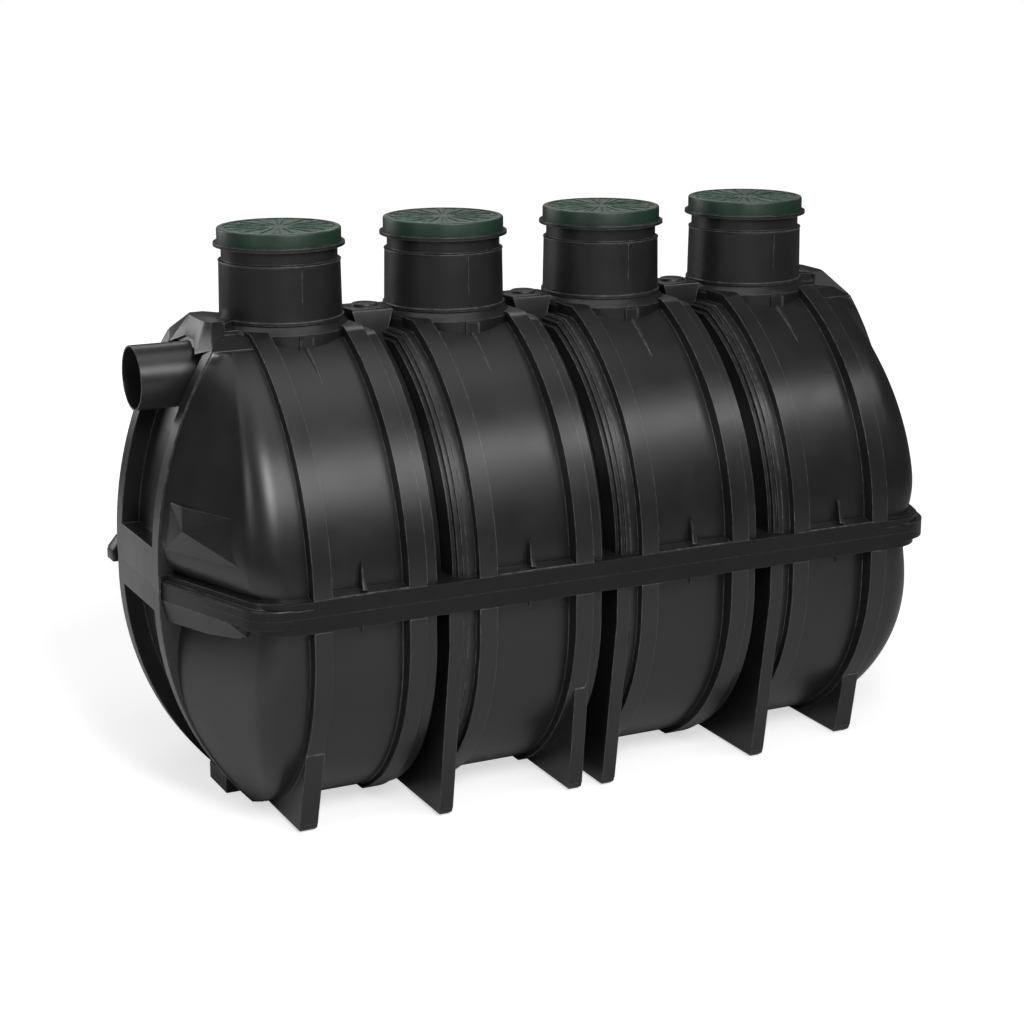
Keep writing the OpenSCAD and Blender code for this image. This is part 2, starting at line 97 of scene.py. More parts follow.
def ramp(tree, value, low, high, first, last):
    """Value between low and high drawn out into a range from first to last."""
    node = tree.nodes.new("ShaderNodeMapRange")
    node.inputs["From Min"].default_value = low
    node.inputs["From Max"].default_value = high
    node.inputs["To Min"].default_value = first
    node.inputs["To Max"].default_value = last
    tree.links.new(value, node.inputs["Value"])
    return node.outputs["Result"]


def bump(tree, height, strength, distance, normal=None):
    """Bump from a height pattern, on top of an earlier bump if one is given."""
    node = tree.nodes.new("ShaderNodeBump")
    node.inputs["Strength"].default_value = strength
    node.inputs["Distance"].default_value = distance
    tree.links.new(height, node.inputs["Height"])
    if normal is not None:
        tree.links.new(normal, node.inputs["Normal"])
    return node.outputs["Normal"]


def blend_colours(tree, factor, dark, light):
    """A colour between dark and light."""
    node = tree.nodes.new("ShaderNodeMix")
    node.data_type = "RGBA"
    node.inputs["A"].default_value = (*dark, 1)
    node.inputs["B"].default_value = (*light, 1)
    tree.links.new(factor, node.inputs["Factor"])
    return node.outputs["Result"]


print("material helpers ready")


# %% [markdown]
# Edges are painted pale as thin highlight lines. Edges could be painted by hand, one by one. Here a
# Bevel node gives the normal that a rounded edge would have, and where it leaves the true normal the
# colour turns pale, a painted highlight. On the lids, faces that point upwards also turn paler.


# %% Moulded polyethylene
def painted_edge_mask(tree, radius):
    """A mask that is 1 on edges and 0 on open surfaces: where a rounded normal leaves the true one."""
    soft = tree.nodes.new("ShaderNodeBevel")
    soft.samples = 4
    soft.inputs["Radius"].default_value = radius
    true = tree.nodes.new("ShaderNodeNewGeometry")
    dot = tree.nodes.new("ShaderNodeVectorMath")
    dot.operation = "DOT_PRODUCT"
    tree.links.new(soft.outputs["Normal"], dot.inputs[0])
    tree.links.new(true.outputs["Normal"], dot.inputs[1])
    return ramp(tree, dot.outputs["Value"], 0.995, 0.90, 0, 1)


def multiply(tree, one, other):
    """Product of two values."""
    node = tree.nodes.new("ShaderNodeMath")
    node.operation = "MULTIPLY"
    tree.links.new(one, node.inputs[0])
    tree.links.new(other, node.inputs[1])
    return node.outputs["Value"]


def moulded(name, dark, light, edge_highlight_colour, grain_scale, satin, shine=0.5, upward_tint=None):
    """Satin moulded plastic: slow waves in the wall, fine grain, cloudy gloss and a painted highlight on the
    edges.
    """
    material, tree, shader = new_material(name)
    coords = tree.nodes.new("ShaderNodeTexCoord").outputs["Object"]
    cloud = noise(tree, coords, 5.0, 4.0, 0.6)
    grain = noise(tree, coords, grain_scale, 2.0)
    wave = noise(tree, coords, 2.6, 1.0)
    speck = noise(tree, coords, 46.0, 5.0, 0.7)
    tint = blend_colours(tree, ramp(tree, cloud, 0.3, 0.7, 0, 1), dark, light)
    # The pale colour on the edges, broken up by speckles, is a painted highlight.
    edge_highlight = multiply(tree, painted_edge_mask(tree, 0.005), ramp(tree, speck, 0.42, 0.62, 0.15, 1))
    highlight_mix = tree.nodes.new("ShaderNodeMix")
    highlight_mix.data_type = "RGBA"
    highlight_mix.inputs["B"].default_value = (*edge_highlight_colour, 1)
    tree.links.new(edge_highlight, highlight_mix.inputs["Factor"])
    tree.links.new(tint, highlight_mix.inputs["A"])
    tree.links.new(highlight_mix.outputs["Result"], shader.inputs["Base Color"])
    # Faces that point upwards turn paler in patches.
    if upward_tint is not None:
        upright = tree.nodes.new("ShaderNodeSeparateXYZ")
        facing = tree.nodes.new("ShaderNodeNewGeometry").outputs["Normal"]
        tree.links.new(facing, upright.inputs["Vector"])
        upward_mix = tree.nodes.new("ShaderNodeMix")
        upward_mix.data_type = "RGBA"
        upward_mix.inputs["B"].default_value = (*upward_tint, 1)
        level = multiply(tree, ramp(tree, upright.outputs["Z"], 0.6, 1, 0, 1),
                         ramp(tree, speck, 0.3, 0.65, 0.45, 1))
        tree.links.new(level, upward_mix.inputs["Factor"])
        tree.links.new(highlight_mix.outputs["Result"], upward_mix.inputs["A"])
        tree.links.new(upward_mix.outputs["Result"], shader.inputs["Base Color"])
    tree.links.new(ramp(tree, cloud, 0.3, 0.7, satin - 0.04, satin + 0.05), shader.inputs["Roughness"])
    slow = bump(tree, wave, 0.30, 0.02)
    middle = bump(tree, speck, 0.05, 0.003, slow)
    tree.links.new(bump(tree, grain, 0.10, 0.001, middle), shader.inputs["Normal"])
    shader.inputs["IOR"].default_value = 1.52
    shader.inputs["Specular IOR Level"].default_value = shine
    return material


# Pale colour painted on the edges as a highlight.
PAINTED_EDGE_HIGHLIGHT = (0.15, 0.15, 0.153)
black = moulded("black_polyethylene", (0.0085, 0.0085, 0.009), (0.0125, 0.0125, 0.013), PAINTED_EDGE_HIGHLIGHT, 520, 0.33)
green = moulded("green_polyethylene", (0.006, 0.020, 0.0115), (0.010, 0.032, 0.019), (0.08, 0.15, 0.11),
                520, 0.42, upward_tint=(0.110, 0.145, 0.124))
# The belt's copy is darker as painted shade, and its edges carry only a faint painted highlight.
belt_shaded_black = moulded("belt_shaded_black", (0.007, 0.007, 0.0074), (0.0105, 0.0105, 0.011), (0.045, 0.045, 0.047),
                     520, 0.33, shine=0.22)
pipe_black = moulded("pipe_black", (0.015, 0.015, 0.0155), (0.021, 0.021, 0.0215), (0.12, 0.12, 0.122),
                     640, 0.30)
print("finishes", black.name, green.name, belt_shaded_black.name, pipe_black.name)

# %% [markdown]
# Every node of the solid model now gets its finish: green for the lids, a slightly paler and smoother
# black for the pipes, a darker and duller copy for the belt, whose darker colour is painted shade,
# and the moulded black for all else. Each node takes one finish all over, so its faces all point at
# the first material.

# %% Dress the nodes
for name, node in nodes.items():
    finish = (green if name.startswith("lid_") else pipe_black if name.endswith("_pipe")
              else belt_shaded_black if name.endswith("_flange") else black)
    node.data.materials.clear()
    node.data.materials.append(finish)
    for face in node.data.polygons:
        face.material_index = 0
print("dressed", len(nodes), "nodes")

# %% [markdown]
# ## Edges
# Nothing that leaves a mould is sharp. Edges could be bevelled in edit mode, but the nodes' own meshes
# are to stay as they are. So modifiers weld their facets, flatten the flats and round every edge by a
# few millimetres, and the ribs catch a thin light.


# %% Rounded edges
def rounded(node, width, segments=2, limit=28):
    """Rounds a node's edges without touching its own mesh."""
    for face in node.data.polygons:
        face.use_smooth = True
    weld = node.modifiers.new("weld", "WELD")
    weld.merge_threshold = 0.0002
    flat = node.modifiers.new("flat", "DECIMATE")
    flat.decimate_type = "DISSOLVE"
    flat.angle_limit = math.radians(0.6)
    edge = node.modifiers.new("edge", "BEVEL")
    edge.width = width
    edge.segments = segments
    edge.limit_method = "ANGLE"
    edge.angle_limit = math.radians(limit)
    edge.harden_normals = True
    even = node.modifiers.new("even", "WEIGHTED_NORMAL")
    even.keep_sharp = True


EDGES = {"upper_bay": 0.006, "lower_bay": 0.006, "upper_valley": 0.004, "lower_valley": 0.004,
         "upper_flange": 0.003, "lower_flange": 0.003, "saddle": 0.007, "bridge": 0.008,
         "inlet_frame": 0.006, "outlet_frame": 0.006, "neck": 0.0025,
         "inlet_pipe": 0.002, "outlet_pipe": 0.002}
for name, node in nodes.items():
    for start, width in EDGES.items():
        if name.startswith(start):
            rounded(node, width)
print("rounded", sum(1 for node in nodes.values() if node.modifiers))

# %% [markdown]
# ## Tools for new pieces
# Each new piece starts as a primitive at its size and place and is shaped in edit mode. These short
# helpers only open a piece, pick parts of it by their place, and close it again. What repeats on the
# tank is modelled once and copied, and the two halves and two sides are mirror copies. A mirror turns
# a mesh inside out, so such a copy has its faces flipped back.


# %% Helpers for modelling
def edit(piece):
    """Opens one piece in edit mode with nothing else selected."""
    bpy.ops.object.select_all(action="DESELECT")
    piece.select_set(True)
    bpy.context.view_layer.objects.active = piece
    bpy.ops.object.mode_set(mode="EDIT")
    return bmesh.from_edit_mesh(piece.data)


def pick(mesh, kind, test):
    """Selects only the vertices, edges or faces whose middle passes a test, and counts them."""
    bpy.context.tool_settings.mesh_select_mode = (kind == "verts", kind == "edges", kind == "faces")
    bpy.ops.mesh.select_all(action="DESELECT")
    for part in getattr(mesh, kind):
        if kind == "verts":
            middle = part.co
        elif kind == "edges":
            middle = (part.verts[0].co + part.verts[1].co) / 2
        else:
            middle = part.calc_center_median()
        part.select_set(test(middle))
    mesh.select_flush_mode()
    bmesh.update_edit_mesh(bpy.context.object.data)
    return sum(1 for part in getattr(mesh, kind) if part.select)


def block(name, low, high):
    """A box from one corner to the other, as the start of a piece."""
    bpy.ops.object.select_all(action="DESELECT")
    middle = [(a + b) / 2 for a, b in zip(low, high)]
    bpy.ops.mesh.primitive_cube_add(size=1, location=middle, scale=[b - a for a, b in zip(low, high)])
    piece = bpy.context.object
    piece.name = name
    bpy.ops.object.transform_apply(location=True, rotation=True, scale=True)
    return piece


def copy_of(piece, name, shift=(0, 0, 0), flip=()):
    """A copy with its own mesh, moved, or mirrored in the planes through the middle of the tank."""
    bpy.ops.object.select_all(action="DESELECT")
    piece.select_set(True)
    bpy.context.view_layer.objects.active = piece
    bpy.ops.object.duplicate()
    twin = bpy.context.object
    twin.name = name
    twin.location = shift
    for axis in flip:
        twin.scale[axis] = -1
    bpy.ops.object.transform_apply(location=True, rotation=True, scale=True)
    if len(flip) % 2:
        edit(twin)
        bpy.ops.mesh.select_all(action="SELECT")
        bpy.ops.mesh.flip_normals()
        bpy.ops.object.mode_set(mode="OBJECT")
    return twin


def close(piece, finish, angle=35):
    """Ends a piece: smooth shading up to an angle, its finish, and its ride on the tank."""
    if bpy.context.mode != "OBJECT":
        bpy.ops.object.mode_set(mode="OBJECT")
    bpy.ops.object.select_all(action="DESELECT")
    piece.select_set(True)
    bpy.context.view_layer.objects.active = piece
    bpy.ops.object.shade_smooth_by_angle(angle=math.radians(angle))
    piece.data.materials.clear()
    piece.data.materials.append(finish)
    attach(piece, "root")
    return piece


def bevel(width, segments=2):
    """Rounds the selected edges or the edges of the selected faces."""
    bpy.ops.mesh.bevel(offset=width, segments=segments, affect="EDGES")


print("helpers ready")

# %% [markdown]
# ## Domes
# The end domes are blown out of the mould like a cheek, and come from the model in flat facets. They
# could be sculpted anew, but then they would leave the model's shape. So a merged copy of each is
# subdivided with its rims held, which turns the facets into one flowing surface.


# %% Smooth domes
def smooth_dome(node_name, name):
    """A smooth copy of an end dome, which stands in for it."""
    piece = bpy.data.objects.new(name, nodes[node_name].data.copy())
    scene.collection.objects.link(piece)
    edit(piece)
    bpy.ops.mesh.select_all(action="SELECT")
    bpy.ops.mesh.remove_doubles(threshold=0.0001)
    bpy.ops.mesh.tris_convert_to_quads(face_threshold=math.radians(50), shape_threshold=math.radians(60))
    bpy.ops.mesh.select_all(action="DESELECT")
    bpy.ops.mesh.edges_select_sharp(sharpness=math.radians(40))
    bpy.ops.transform.edge_crease(value=1.0)
    bpy.ops.object.mode_set(mode="OBJECT")
    smooth = piece.modifiers.new("smooth", "SUBSURF")
    smooth.levels = smooth.render_levels = 2
    bpy.ops.object.modifier_apply(modifier="smooth")
    close(piece, black, 40)
    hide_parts(node_name)
    return piece


for end in ("inlet", "outlet"):
    for half in ("upper", "lower"):
        piece = smooth_dome(f"{end}_dome_{half}", f"{end}_dome_{half}_smooth")
        print(piece.name, len(piece.data.polygons), "faces")

# %% [markdown]
# ## Belt
# The belt is the double lip where the two mouldings are bolted and welded. Round the ends its upper
# part steps in, with a rounded outer bead, a narrow ledge and a riser. A curve with a profile could be
# swept for this. Here the profile is extruded point by point, spun round the corner and drawn out to
# the frame, because a spin keeps the corner's radius exact. The other three corners are mirror copies.

# %% Belt numbers
SIDE, FACE, RAKE, CORNER, HALF = 0.704, 1.410, 0.347, 0.130, 0.224
TURN = math.pi / 2 - math.atan(RAKE)
KNEE = FACE - RAKE * (SIDE - HALF) - CORNER * math.tan(TURN / 2)
SEAM = 0.790
print("corner centre", round(KNEE, 4), round(SIDE - CORNER, 4))


# %% One belt strip
def belt_strip(name, height, moves):
    """Draws a profile square to the belt's side, spins it round the corner and runs it to the frame."""
    bpy.ops.object.select_all(action="DESELECT")
    bpy.ops.mesh.primitive_plane_add(size=0.01, location=(KNEE, SIDE, height))
    piece = bpy.context.object
    piece.name = name
    bpy.ops.object.transform_apply(location=True)
    mesh = edit(piece)
    bpy.context.tool_settings.mesh_select_mode = (True, False, False)
    bpy.ops.mesh.select_all(action="SELECT")
    bpy.ops.mesh.merge(type="CENTER")
    for inward, up in moves:
        bpy.ops.mesh.extrude_region_move(TRANSFORM_OT_translate={"value": (0, -inward, up)})
    bpy.ops.mesh.select_all(action="SELECT")
    bpy.ops.mesh.spin(steps=18, angle=TURN, center=(KNEE, SIDE - CORNER, height), axis=(0, 0, 1))
    start = Vector((KNEE + CORNER * math.sin(TURN), SIDE - CORNER + CORNER * math.cos(TURN), 0))
    run = Vector((FACE, HALF, 0)) - start
    bpy.ops.mesh.extrude_region_move(TRANSFORM_OT_translate={"value": run * 1.012})
    pick(mesh, "verts", lambda v: v.x < KNEE + 0.00001)
    bpy.ops.mesh.extrude_region_move(TRANSFORM_OT_translate={"value": (1.0715 - KNEE, 0, 0)})
    bpy.ops.mesh.select_all(action="SELECT")
    bpy.ops.mesh.normals_make_consistent(inside=False)
    pick(mesh, "faces", lambda m: True)
    top = max(mesh.faces, key=lambda face: abs(face.normal.z))
    if (top.normal.z < 0) == (moves[-1][1] > 0):
        bpy.ops.mesh.flip_normals()
    bpy.ops.object.mode_set(mode="OBJECT")
    wall = piece.modifiers.new("wall", "SOLIDIFY")
    wall.thickness = 0.002
    wall.offset = -1
    bpy.ops.object.modifier_apply(modifier="wall")
    return piece


BELT_PROFILE = [(0, 0.0035), (0.0012, 0.003), (0.0028, 0.0013), (0.003, -0.0006), (0.008, 0.0004),
                (0.0018, 0.003), (0.0006, 0.011), (0.0016, 0.0042), (0.003, 0.002), (0.0035, 0),
                (0.0035, -0.001), (0.016, 0.0032), (0.030, 0.0055), (0.025, 0.002)]
strips = [belt_strip("belt_top_strip", 0.8150, BELT_PROFILE)]
for strip in list(strips):
    for tag, flip in (("b", (1,)), ("c", (0,)), ("d", (0, 1))):
        strips.append(copy_of(strip, strip.name + "_" + tag, flip=flip))
for strip in strips:
    close(strip, black, 50)
print("strips", len(strips))

# %% [markdown]
# Under the belt a steep plate hangs beside each frame and dies away towards the corner, where the
# mould's lower lip runs into the dome. A box cut once across is enough for it: each of its corners is
# then pulled to its own spot, which is quicker than measuring slopes.


# %% Plates under the belt
def put(mesh, spot, place):
    """Moves the vertex nearest to a spot to its place."""
    here = min((vert.co.copy() for vert in mesh.verts), key=lambda co: (co - Vector(spot)).length)
    pick(mesh, "verts", lambda v: (v - here).length < 0.00001)
    bpy.ops.transform.translate(value=Vector(place) - here)


def raked(side, inset):
    """X of the belt's raked face at a distance from the middle, drawn in by inset."""
    return FACE - RAKE * (side - HALF) - inset


plate = block("belt_plate", (-1, -1, 0), (1, 1, 1))
mesh = edit(plate)
pick(mesh, "edges", lambda m: abs(m.y) < 0.1)
bpy.ops.mesh.subdivide(number_cuts=1)
for side, share in ((0.222, -1), (0.42, 0), (0.54, 1)):
    low = {-1: 0.013, 0: 0.022, 1: 0.075}[share]
    put(mesh, (1, share, 1), (raked(side, 0.0005), side, 0.760))
    put(mesh, (-1, share, 1), (raked(side, 0.09), side, 0.760))
    put(mesh, (1, share, 0), (raked(side, low), side, 0.690))
    put(mesh, (-1, share, 0), (raked(side, 0.09), side, 0.688))
bpy.ops.object.mode_set(mode="OBJECT")
plates = [plate]
for tag, flip in (("b", (1,)), ("c", (0,)), ("d", (0, 1))):
    plates.append(copy_of(plate, "belt_plate_" + tag, flip=flip))
for plate in plates:
    close(plate, black, 30)
print("plates", len(plates))

# %% [markdown]
# ## Ledges and gussets
# Along the sides the belt's upper ledge slopes up to each panel and is sunk a little inside its rim.
# It is a box with one edge lowered and its top inset and pushed down. A small spike-shaped gusset
# stands on it under each neck, with another hanging below the belt, to stiffen the lip. It starts as a
# four-sided cone, which already has the taper.

# %% Ledges
RIBS = [(-1.072, -0.686), (-0.504, -0.091), (0.091, 0.504), (0.686, 1.072)]
RIB_WIDTH = 0.064
NECKS = (-0.893, -0.303, 0.303, 0.893)
ledges = []
for bay, (a, b) in enumerate(RIBS):
    ledge = block(f"ledge_{bay + 1}", (a + RIB_WIDTH, -0.7010, 0.8405), (b - RIB_WIDTH, -0.646, 0.8560))
    mesh = edit(ledge)
    pick(mesh, "edges", lambda m: m.y < -0.70 and m.z > 0.85)
    bpy.ops.transform.translate(value=(0, 0, -0.0105))
    pick(mesh, "faces", lambda m: m.z > 0.844 and abs(m.y + 0.676) < 0.01)
    bpy.ops.mesh.inset(thickness=0.0055)
    bpy.ops.transform.translate(value=(0, 0, -0.0045))
    half = (b - a) / 2 - RIB_WIDTH
    pick(mesh, "edges", lambda m: abs(abs(m.x - (a + b) / 2) - half) < 0.001 and abs(m.z - 0.843) < 0.004)
    bevel(0.0015, 2)
    bpy.ops.object.mode_set(mode="OBJECT")
    ledges += [ledge, copy_of(ledge, ledge.name + "_far", flip=(1,))]
for ledge in ledges:
    close(ledge, black)
print("ledges", len(ledges))

# %% Gussets
bpy.ops.object.select_all(action="DESELECT")
bpy.ops.mesh.primitive_cone_add(vertices=4, radius1=0.021, radius2=0.0015, depth=0.085,
                                location=(0, -0.668, 0.893), rotation=(0, 0, math.radians(45)))
gusset = bpy.context.object
gusset.name = "gusset"
bpy.ops.object.transform_apply(location=True, rotation=True)
mesh = edit(gusset)
pick(mesh, "verts", lambda v: v.z < 0.86)
bpy.ops.transform.resize(value=(0.6, 1.3, 1), center_override=(0, -0.668, 0.85))
pick(mesh, "verts", lambda v: v.z > 0.92)
bpy.ops.transform.translate(value=(0, 0.014, 0))
pick(mesh, "edges", lambda m: 0.86 < m.z < 0.92)
bevel(0.002, 2)
bpy.ops.object.mode_set(mode="OBJECT")
low = copy_of(gusset, "gusset_low", flip=(2,))
edit(low)
bpy.ops.mesh.select_all(action="SELECT")
bpy.ops.transform.resize(value=(0.6, 0.6, 0.5), center_override=(0, -0.655, -0.8505))
bpy.ops.transform.translate(value=(0, 0.004, 2 * SEAM + 0.009))
bpy.ops.object.mode_set(mode="OBJECT")
gussets = []
for i, x in enumerate(NECKS):
    for start, tag in ((gusset, "up"), (low, "down")):
        near = copy_of(start, f"gusset_{i + 1}_{tag}", shift=(x, 0, 0))
        gussets += [near, copy_of(near, near.name + "_far", flip=(1,))]
for old in (gusset, low):
    bpy.data.objects.remove(old)
for piece in gussets:
    close(piece, black, 30)
print("gussets", len(gussets))

# %% [markdown]
# ## Lids
# Each lid has a low rim, a sunken top and sixteen raised petals, which keep a boot from slipping. The
# rim and the hollow under the lid come from insets of a cylinder. One petal is shaped and then spun
# round the middle, which spaces the others evenly.

# %% One lid
bpy.ops.object.select_all(action="DESELECT")
bpy.ops.mesh.primitive_cylinder_add(vertices=96, radius=0.2038, depth=0.0478, location=(0, 0, 1.882))
lid = bpy.context.object
lid.name = "lid_dressed"
bpy.ops.object.transform_apply(location=True)
mesh = edit(lid)
pick(mesh, "edges", lambda m: m.z > 1.905)
bevel(0.007, 3)
pick(mesh, "faces", lambda m: m.z > 1.9055 and m.xy.length < 0.1)
bpy.ops.mesh.inset(thickness=0.012)
bpy.ops.mesh.extrude_region_move(TRANSFORM_OT_translate={"value": (0, 0, -0.004)})
pick(mesh, "faces", lambda m: m.z < 1.859 and m.xy.length < 0.1)
bpy.ops.mesh.inset(thickness=0.003)
bpy.ops.mesh.extrude_region_move(TRANSFORM_OT_translate={"value": (0, 0, 0.034)})
bpy.ops.object.mode_set(mode="OBJECT")
print(lid.name, len(lid.data.polygons))

# %% Its petals
petals = block("petals", (0.045, -0.013, 1.9), (0.176, 0.013, 1.9056))
mesh = edit(petals)
pick(mesh, "edges", lambda m: abs(abs(m.y) - 0.013) < 0.001 and abs(m.z - 1.903) < 0.001)
bpy.ops.mesh.bevel(offset=0.009, segments=3, affect="EDGES")
pick(mesh, "verts", lambda v: v.x < 0.06)
bpy.ops.transform.resize(value=(1, 0.35, 1), center_override=(0.05, 0, 1.9))
pick(mesh, "faces", lambda m: m.z > 1.9054)
bpy.ops.mesh.inset(thickness=0.004)
bpy.ops.transform.translate(value=(0, 0, -0.0025))
bpy.ops.mesh.select_all(action="SELECT")
bpy.ops.mesh.spin(steps=16, angle=2 * math.pi, center=(0, 0, 1.9), axis=(0, 0, 1), dupli=True)
bpy.ops.object.mode_set(mode="OBJECT")
bpy.ops.object.select_all(action="DESELECT")
petals.select_set(True)
lid.select_set(True)
bpy.context.view_layer.objects.active = lid
bpy.ops.object.join()
for i, x in enumerate(NECKS):
    piece = copy_of(lid, f"lid_{i + 1}_petals", shift=(x, 0, 0))
    close(piece, green, 30)
    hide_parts(f"lid_{i + 1}")
bpy.data.objects.remove(lid)
print("lids", 4)

# %% [markdown]
# ## Frames
# The block behind the hood is cut back on both sides, so that the collar's foot shows beside it. Two
# boxes are taken away from a merged copy of the frame, which then stands in for it. A Boolean is right
# here, because the cut has to be clean through walls that were never drawn for it.

# %% Frames trimmed beside the hood
def trimmed_frame(node_name, name, side):
    """A copy of a frame with its block cut back beside the hood, which stands in for it."""
    piece = bpy.data.objects.new(name, nodes[node_name].data.copy())
    scene.collection.objects.link(piece)
    edit(piece)
    bpy.ops.mesh.select_all(action="SELECT")
    bpy.ops.mesh.remove_doubles(threshold=0.0001)
    bpy.ops.mesh.select_all(action="SELECT")
    bpy.ops.mesh.dissolve_limited(angle_limit=math.radians(0.5))
    bpy.ops.object.mode_set(mode="OBJECT")
    for part in (-1, 1):
        knife = block("trim", (-0.060, -0.06, -0.022), (0.060, 0.06, 0.03))
        mesh = edit(knife)
        pick(mesh, "edges", lambda m: m.x * side < -0.05 and m.y * part < -0.05)
        bpy.ops.transform.translate(value=(0, -part * 0.085, 0))
        bpy.ops.mesh.select_all(action="SELECT")
        bpy.ops.transform.translate(value=(side * 1.0655, part * 0.1625, 1.616))
        bpy.ops.object.mode_set(mode="OBJECT")
        cut = piece.modifiers.new("cut", "BOOLEAN")
        cut.operation = "DIFFERENCE"
        cut.solver = "EXACT"
        cut.object = knife
        bpy.ops.object.select_all(action="DESELECT")
        piece.select_set(True)
        bpy.context.view_layer.objects.active = piece
        bpy.ops.object.modifier_apply(modifier="cut")
        bpy.data.objects.remove(knife)
    close(piece, black, 28)
    rounded(piece, 0.006)
    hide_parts(node_name)
    return piece


for end, side in (("inlet", -1), ("outlet", 1)):
    piece = trimmed_frame(f"{end}_frame_upper", f"{end}_frame_upper_trimmed", side)
    print(piece.name, len(piece.data.polygons), "faces")

# %% [markdown]
# ## Bridges
# Between two necks the tank's top is tied by a small flared platform with a low round knob. It starts
# as a box with the size of the model's plain bridge, its foot is drawn in, and a short cylinder joins
# it as the knob.

# %% Bridges
for i in (1, 2, 3):
    corners = [nodes[f"bridge_{i}"].matrix_world @ Vector(c) for c in nodes[f"bridge_{i}"].bound_box]
    low = Vector([min(c[k] for c in corners) for k in range(3)])
    high = Vector([max(c[k] for c in corners) for k in range(3)])
    middle = (low + high) / 2
    deck = high.z - 0.012
    piece = block(f"bridge_{i}_flared", (low.x, low.y - 0.012, low.z), (high.x, high.y + 0.012, deck))
    mesh = edit(piece)
    pick(mesh, "faces", lambda m: m.z < low.z + 0.001)
    bpy.ops.transform.resize(value=(0.6, 1.12, 1), center_override=middle)
    pick(mesh, "faces", lambda m: m.z > deck - 0.001)
    bevel(0.009, 3)
    bpy.ops.object.mode_set(mode="OBJECT")
    bpy.ops.object.select_all(action="DESELECT")
    bpy.ops.mesh.primitive_cylinder_add(vertices=48, radius=0.044, depth=0.02,
                                        location=(middle.x, middle.y, deck))
    knob = bpy.context.object
    bpy.ops.object.transform_apply(location=True)
    mesh = edit(knob)
    pick(mesh, "faces", lambda m: m.z > deck + 0.009)
    bevel(0.005, 3)
    bpy.ops.object.mode_set(mode="OBJECT")
    piece.select_set(True)
    bpy.context.view_layer.objects.active = piece
    bpy.ops.object.join()
    close(piece, black, 40)
    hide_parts(f"bridge_{i}")
    print(piece.name, [round(v, 3) for v in low], [round(v, 3) for v in high])

# %% [markdown]
# ## Mould marks
# The mould parts in the plane across each neck: a hair-thin seam climbs the neck, crosses the collar
# in a small arch and runs on down the panel as a fading ridge. Such marks could be left to bump, but
# the light catches their edges, so they are real, if thin. The seam is a bevelled sliver.

# %% Neck seams
seams = []
for i, x in enumerate(NECKS):
    seam = block(f"neck_seam_{i + 1}", (x - 0.0016, -0.2022, 1.62), (x + 0.0016, -0.198, 1.794))
    mesh = edit(seam)
    pick(mesh, "edges", lambda m: m.y < -0.202 and abs(m.z - 1.707) < 0.01)
    bevel(0.0012, 2)
    bpy.ops.object.mode_set(mode="OBJECT")
    seams += [seam, copy_of(seam, seam.name + "_far", flip=(1,))]
for seam in seams:
    close(seam, black, 30)
print("seams", len(seams))


# %% [markdown]
# A collar doesn't meet the roof in a sharp line. Its foot swells out first. A bare circle is extruded
# up and drawn in a few times, which gives that swelling, and its ends are bridged to close it.

# %% Feet of the collars
bpy.ops.object.select_all(action="DESELECT")
bpy.ops.mesh.primitive_circle_add(vertices=128, radius=0.2285, fill_type="NOTHING",
                                  location=(0, 0, 1.47))
skirt = bpy.context.object
skirt.name = "collar_foot"
bpy.ops.object.transform_apply(location=True)
mesh = edit(skirt)
bpy.ops.mesh.select_all(action="SELECT")
bpy.ops.mesh.extrude_region_move(TRANSFORM_OT_translate={"value": (0, 0, 0.106)})
bpy.ops.mesh.extrude_region_move(TRANSFORM_OT_translate={"value": (0, 0, 0.005)})
for share, up in ((0.993, 0.0020), (0.980, 0.0060), (0.960, 0.0110), (0.925, 0.0130)):
    bpy.ops.mesh.extrude_region_move(TRANSFORM_OT_translate={"value": (0, 0, up)})
    bpy.ops.transform.resize(value=(share, share, 1), center_override=(0, 0, 1.5))
bpy.ops.mesh.select_all(action="DESELECT")
bpy.ops.mesh.select_non_manifold(use_wire=False, use_multi_face=False,
                                 use_non_contiguous=False, use_verts=False)
bpy.ops.mesh.bridge_edge_loops()
bpy.ops.mesh.select_all(action="SELECT")
bpy.ops.mesh.normals_make_consistent(inside=False)
bpy.ops.object.mode_set(mode="OBJECT")
for i, x in enumerate(NECKS):
    close(copy_of(skirt, f"collar_foot_{i + 1}", shift=(x, 0, 0)), black, 25)
bpy.data.objects.remove(skirt)
print("collar feet", 4)

# %% [markdown]
# Under each arch a low ridge runs down the panel and fades out. A panel's outline is an arc, so a small
# bar is spun about the arc's own middle, which keeps it on the panel. Each ring of it is then made
# smaller than the last, down to a point.

